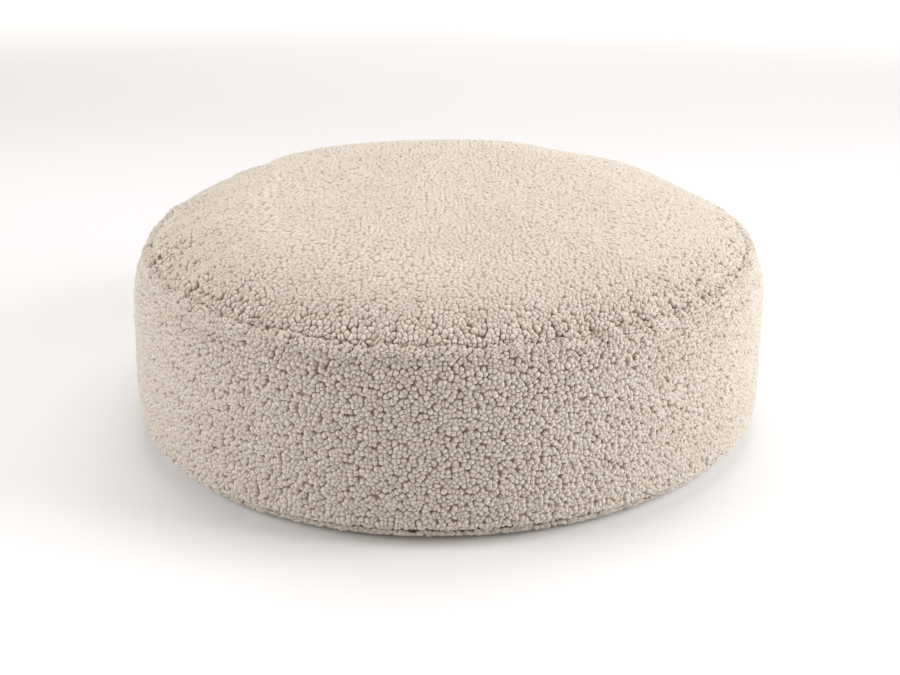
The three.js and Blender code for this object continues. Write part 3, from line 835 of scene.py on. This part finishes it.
# ------------------------------ zip, fixed part
# A 5 mm coil zip: two woven polyester tapes, each with a nylon spiral sewn along its edge. The tapes are
# stitched behind the folded edges of the rear bands, and metal clips stop the slider at both ends.
coil_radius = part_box("zip_coil_upper")[1].y - 0.0012
tape_face = coil_radius - 0.0015
tape_back = coil_radius - 0.0023
tape_edges = [edge.z - zip_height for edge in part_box("zip_tape_upper")]
tape_soft = 0.0002  # how much the tape's corners are cut
tape_start = 0.004 / coil_radius
tooth_pitch = 0.0013
tooth_reach = (0.00105, 0.0032)  # from the centre line to the tooth's tip and to its heel
tooth_half_depth = 0.0012
filament = 0.0003  # radius
tooth_lean = 0.25
zip_row_height = 0.01125  # from the zip's middle to its stitching
coil_start = 0.025 / coil_radius
coil_end = math.pi - 0.019 / coil_radius

# Zip tape: fine herringbone weave in matt polyester, a shade darker than the pile.
tape_weave, tree = new_material("herringbone_zip_tape")
cloth_at = add_node(tree, "ShaderNodeAttribute", attribute_name="cloth").outputs["Vector"]
parts = add_node(tree, "ShaderNodeSeparateXYZ", {"Vector": cloth_at}).outputs
slant = maths(tree, "ADD", parts["X"], maths(tree, "PINGPONG", parts["Y"], 0.0015))
rib = maths(tree, "SINE", maths(tree, "MULTIPLY", slant, math.tau / 0.0009))
rib_share = ranged(tree, rib, -1.0, 1.0)
surfaced(
    tree,
    {
        "Base Color": two_tone(tree, rib_share, "a99a87", "c9bba8"),
        "Roughness": 0.8,
        "Specular IOR Level": 0.3,
        "Sheen Weight": 0.1,
        "Normal": bumped(tree, rib_share, 0.7, 0.00015),
    },
)

# Nylon monofilament: smooth and slightly see-through, so its colour is even and its shine is soft.
nylon, tree = new_material("nylon_coil")
draw_marks = noise(tree, add_node(tree, "ShaderNodeTexCoord").outputs["Object"], 0.003)[0]
nylon_tint = two_tone(tree, draw_marks, "bcae9b", "d2c5b4")
nylon_gloss = ranged(tree, draw_marks, 0.0, 1.0, 0.32, 0.5)
surfaced(tree, {"Base Color": nylon_tint, "Roughness": nylon_gloss, "IOR": 1.53})

# Die-cast zinc with a nickel finish: a soft silver shine, tumbled smooth, with faint wear marks.
nickel, tree = new_material("nickel_plated_zinc")
tumble = noise(tree, add_node(tree, "ShaderNodeTexCoord").outputs["Object"], 0.0012, 4.0)[0]
surfaced(
    tree,
    {
        "Base Color": two_tone(tree, tumble, "b3aea6", "d3cfc8"),
        "Metallic": 1.0,
        "Roughness": ranged(tree, tumble, 0.0, 1.0, 0.24, 0.42),
        "Normal": bumped(tree, tumble, 0.25, 0.00005),
    },
)


def around(angles):
    """The directions along the zip, up across it, and straight out, at angles round the cushion."""
    along = np.stack([-np.sin(angles), np.cos(angles), 0 * angles], axis=1)
    out = np.stack([np.cos(angles), np.sin(angles), 0 * angles], axis=1)
    return along, np.tile((0.0, 0.0, 1.0), (len(angles), 1)), out


for side, way in (("upper", 1), ("lower", -1)):
    low, high = sorted(zip_height + way * edge for edge in tape_edges)
    strip = [
        (tape_face, high - tape_soft),
        (tape_face - tape_soft, high),
        (tape_back + tape_soft, high),
        (tape_back, high - tape_soft),
        (tape_back, low + tape_soft),
        (tape_back + tape_soft, low),
        (tape_face - tape_soft, low),
        (tape_face, low + tape_soft),
    ]
    tape = swept(f"zip_tape_{side}_woven", strip, tape_start, math.pi - 2 * tape_start, 0.003)
    points = places(tape)
    at_back = np.hypot(*points[:, :2].T) < (tape_face + tape_back) / 2
    lay_cloth(tape, flat_band(points), np.where(at_back, 2 * back_depth, 0.0))
    tape.data.materials.append(tape_weave)
    stand_for(tape, f"zip_tape_{side}")

    tip, heel = tooth_reach
    half_across = (heel - tip) / 2 - filament
    half_out = tooth_half_depth - filament
    bpy.ops.mesh.primitive_torus_add(
        major_segments=8,
        minor_segments=4,
        major_radius=1,
        minor_radius=filament / half_out,
        rotation=(0, math.pi / 2, 0),
    )
    bpy.ops.object.transform_apply(location=False, rotation=True, scale=False)
    coil = bpy.context.object
    coil.name = f"zip_coil_{side}_spiral"
    tooth_angle = tooth_pitch / coil_radius
    angles = np.arange(coil_start, coil_end, tooth_angle) + way * tooth_angle / 4
    teeth = copied(coil, len(angles))
    teeth = teeth * (half_out, half_across, half_out)
    teeth[..., 0] += tooth_lean * teeth[..., 2]
    teeth[..., 1] += way * (tip + heel) / 2
    along, across, out = around(angles)
    centres = out * coil_radius + across * zip_height
    laid_along(coil, teeth, centres, along, across, out)
    coil.data.materials.append(nylon)
    stand_for(coil, f"zip_coil_{side}")

    row_r = tape_back - 0.0006
    row_angle = np.arange(tape_start * 1.3, math.pi - tape_start * 1.3, 0.003 / row_r)
    row_z = np.full(len(row_angle), zip_height + way * zip_row_height)
    row = np.stack([row_r * np.cos(row_angle), row_r * np.sin(row_angle), row_z], axis=1)
    stitches(f"zip_stitches_{side}", row, f"zip_stitching_{side}")


def cast(name, node, soften, body="cushion"):
    """A copy of a small cast piece with its edges rounded over."""
    bpy.ops.object.select_all(action="DESELECT")
    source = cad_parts[node]
    source = source if isinstance(source, bpy.types.Object) else bpy.data.objects[node]
    piece = source.copy()
    piece.data = source.data.copy()
    piece.name = name
    bpy.context.scene.collection.objects.link(piece)
    piece.select_set(True)
    bpy.context.view_layer.objects.active = piece
    bpy.ops.object.mode_set(mode="EDIT")
    bpy.ops.mesh.select_all(action="SELECT")
    bpy.ops.mesh.remove_doubles(threshold=1e-6)
    bpy.ops.mesh.dissolve_limited(angle_limit=math.radians(2))
    bpy.ops.object.mode_set(mode="OBJECT")
    rounding = piece.modifiers.new("rounding", "BEVEL")
    rounding.width = soften
    rounding.segments = 3
    rounding.angle_limit = math.radians(30)
    bpy.ops.object.modifier_apply(modifier="rounding")
    bpy.ops.object.shade_smooth_by_angle(angle=math.radians(35))
    piece.data.materials.clear()
    piece.data.materials.append(nickel)
    stand_for(piece, node, body)


stop_rounding = 0.00018
for clip in ("zip_top_stop_upper", "zip_top_stop_lower", "zip_bottom_stop"):
    cast(f"{clip}_clip", clip, stop_rounding)

# ------------------------------ zip slider and pull
# Die-cast parts with a nickel finish. The slider's two plates are joined by a post between the coils, and
# the pull is a flat tab that swings on a pin under the bridge.
slider_rounding = 0.00022
pull_rounding = 0.00028
cast("zip_slider_cast", "zip_slider", slider_rounding, "slider")
cast("zip_pull_tab", "zip_pull", pull_rounding, "pull")

# ------------------------------ inner cushion
# The pad that the cover zips off: a liner of plain-woven cotton, sewn round the top and the base, then a
# soft wrap of white polyester fibre, and a foam core that holds the cushion's drum shape.
liner_depth = 0.0095
liner_thickness = 0.001
seam_dent = 0.019
zip_dent = 0.01385
wadding_depth = 0.030
foam_depth = 0.0305
layer_gap = 0.0005
edge_gap = 0.0012
inner_pitch = 0.013

# Plain cotton calico: unbleached, with slubs, about 18 threads to the centimetre.
calico, tree = new_material("unbleached_cotton_calico")
cloth_at = add_node(tree, "ShaderNodeAttribute", attribute_name="cloth").outputs["Vector"]
thread_spacing = 0.0006
lines = {"Vector": cloth_at, "Scale": math.tau / 20 / thread_spacing, "Distortion": 0.6}
wefts = add_node(tree, "ShaderNodeTexWave", lines).outputs["Fac"]
warps = add_node(tree, "ShaderNodeTexWave", lines, bands_direction="Y").outputs["Fac"]
crossing = maths(tree, "MULTIPLY", wefts, warps)
weave_tone = maths(tree, "ADD", crossing, noise(tree, cloth_at, 0.008, 3.0)[0])
surfaced(
    tree,
    {
        "Base Color": two_tone(tree, weave_tone, "d5cab6", "f0e9db"),
        "Roughness": 0.9,
        "Specular IOR Level": 0.25,
        "Sheen Weight": 0.1,
        "Normal": bumped(tree, crossing, 0.6, 0.0002),
    },
)

# Polyester wadding: bright white, matt, a tangle of fine fibres that lie roughly along the sheet.
fibre, tree = new_material("polyester_wadding")
here = add_node(tree, "ShaderNodeTexCoord").outputs["Object"]
tangle = noise(tree, here, 0.006, 6.0, Roughness=0.75, Distortion=3.0)[0]
surfaced(
    tree,
    {
        "Base Color": two_tone(tree, tangle, "dcdcda", "f8f8f6"),
        "Roughness": 1.0,
        "Specular IOR Level": 0.1,
        "Sheen Weight": 0.4,
        "Normal": bumped(tree, tangle, 0.8, 0.002),
    },
)

# Polyurethane foam: cream, matt, with open pores about 1.5 mm across, each painted darker towards its middle
# as shade.
foam, tree = new_material("polyurethane_foam")
pore_size = 0.0015
here = add_node(tree, "ShaderNodeTexCoord").outputs["Object"]
cells = {"Vector": here, "Scale": 1 / pore_size}
pores = add_node(tree, "ShaderNodeTexVoronoi", cells).outputs["Distance"]
surfaced(
    tree,
    {
        # Painted shade: the colour darkens down in each pore.
        "Base Color": two_tone(tree, pores, "d8c489", "f2e6bd"),
        "Roughness": 0.95,
        "Specular IOR Level": 0.2,
        "Normal": bumped(tree, pores, 0.7, 0.0006),
    },
)


def crown_layer(depth, dented=0.0):
    """A layer's outline under the dome, from the middle out, pushed in further at the seam."""
    r = np.linspace(0, seam_radius - edge_gap, 70)
    return under_crown(r, depth + dented * eased(r, seam_radius - 0.026, seam_radius - 0.006))


def side_layer(depth, dented=0.0, at_zip=0.0):
    """A layer's outline behind the side, from the top down, pushed in further at its seams and the zip."""
    z = np.linspace(seam_height - edge_gap, base_seam_height + edge_gap, 90)
    by_top = eased(z, seam_height - 0.026, seam_height - 0.006)
    by_base = 1 - eased(z, base_seam_height + 0.004, base_seam_height + 0.018)
    by_zip = (1 - eased(np.abs(z - zip_height), 0.018, 0.024)) * (1 - by_base)
    return under_side(z, depth + dented * np.maximum(by_top, by_base) + at_zip * by_zip)


def base_layer(depth, edge_depth):
    """A layer's outline over the floor, from the edge in to the middle."""
    edge = under_side(base_seam_height - 0.0004, edge_depth) + (-0.0006, -0.0008)
    r = np.linspace(floor_radius - 0.018 - depth * 0.4, 0, 60)
    return np.array([edge, *np.stack([r, np.full(len(r), depth)], axis=1)])


def turned(name, outer, inner, node, material, round_side=False):
    """A closed shell turned about the cushion's axis, then settled. A side's ends leave a narrow gap."""
    outline = np.array([*outer, *inner[::-1]])
    gap = edge_gap / 2 / outer_radius if round_side else 0
    piece = swept(name, outline, gap, math.tau - 2 * gap, inner_pitch)
    bpy.ops.object.mode_set(mode="EDIT")
    bpy.ops.mesh.select_all(action="SELECT")
    bpy.ops.mesh.remove_doubles(threshold=1e-6)
    bpy.ops.mesh.dissolve_degenerate(threshold=1e-7)
    bpy.ops.mesh.delete_loose()
    bpy.ops.object.mode_set(mode="OBJECT")
    points = places(piece)
    lay_cloth(piece, flat_band(points) if round_side else flat_disc(points), depth_under(points))
    place(piece, settled(points))
    piece.data.polygons.foreach_set("use_smooth", np.ones(len(piece.data.polygons), bool))
    piece.data.materials.append(material)
    dress(piece, node)


dent = seam_dent - liner_depth
zip_push = zip_dent - liner_depth
inside = liner_depth + liner_thickness
start = inside + layer_gap

outer, inner = crown_layer(liner_depth, dent), crown_layer(inside, dent)
turned("cotton_liner_top", outer, inner, "liner_top", calico)
outer, inner = side_layer(liner_depth, dent, zip_push), side_layer(inside, dent, zip_push)
turned("cotton_liner_side", outer, inner, "liner_side", calico, True)
outer, inner = base_layer(liner_depth, seam_dent), base_layer(inside, seam_dent + liner_thickness)
turned("cotton_liner_base", outer, inner, "liner_base", calico)

outer, inner = crown_layer(start, dent), crown_layer(wadding_depth)
turned("fibre_wadding_top", outer, inner, "wadding_top", fibre)
outer, inner = side_layer(start, dent, zip_push), side_layer(wadding_depth)
turned("fibre_wadding_side", outer, inner, "wadding_side", fibre, True)
outer = base_layer(start, seam_dent + liner_thickness + layer_gap)
inner = base_layer(wadding_depth, wadding_depth)
turned("fibre_wadding_base", outer, inner, "wadding_base", fibre)

outer = [*crown_layer(foam_depth)[:-2], *side_layer(foam_depth)[1:-1]]
turned("foam_core_block", outer, base_layer(foam_depth, foam_depth + 0.001)[::-1], "foam_core", foam)

for where, seam_at in (("top", seam_height), ("base", base_seam_height)):
    ring = ring_path(*under_side(seam_at, seam_dent - 0.0006))
    stitches(f"liner_{where}_stitches", ring, f"liner_{where}_thread")

# ------------------------------ care label
# A small tag of white polyester satin ribbon, sewn by its edge inside the cover beside the left seam. It is
# left blank.
label_width = 0.030
label_height = 0.045
label_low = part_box("care_label")[0].z
label_arc = 0.030
ribbon_thickness = 0.0004

# Satin ribbon: long floats of shiny yarn, so it has a soft gloss with fine lines along it.
satin, tree = new_material("satin_ribbon")
cloth_at = add_node(tree, "ShaderNodeAttribute", attribute_name="cloth").outputs["Vector"]
lines = {"Vector": cloth_at, "Scale": math.tau / 20 / 0.0003, "Distortion": 0.8}
floats = add_node(tree, "ShaderNodeTexWave", lines, bands_direction="Y").outputs["Fac"]
surfaced(
    tree,
    {
        "Base Color": two_tone(tree, floats, "e9e7e2", "f9f8f5"),
        "Roughness": 0.35,
        "Sheen Weight": 0.2,
        "Normal": bumped(tree, floats, 0.3, 0.0001),
    },
)

bpy.ops.mesh.primitive_grid_add(x_subdivisions=15, y_subdivisions=22, size=1)
label = bpy.context.object
label.name = "care_label_ribbon"
across, up, _ = (places(label) + 0.5).T
label_r, label_z = under_side(label_low + up * label_height, fabric_thickness + 0.0007).T
curl_in = 0.0003 * np.sin(across * 5) * (1 - up)
label_angle = math.pi + label_arc / outer_radius + across * label_width / (outer_radius - fabric_thickness)
label_r = label_r - curl_in
label_points = [label_r * np.cos(label_angle), label_r * np.sin(label_angle), label_z]
place(label, settled(np.stack(label_points, axis=1)))
lay_cloth(label, np.stack([across * label_width, up * label_height], axis=1), np.zeros(len(across)))
ribbon_wall = label.modifiers.new("ribbon_wall", "SOLIDIFY")
ribbon_wall.thickness = ribbon_thickness
ribbon_wall.offset = 0
bpy.ops.object.modifier_apply(modifier="ribbon_wall")
bpy.ops.object.shade_smooth_by_angle(angle=math.radians(40))
label.data.materials.append(satin)
stand_for(label, "care_label")
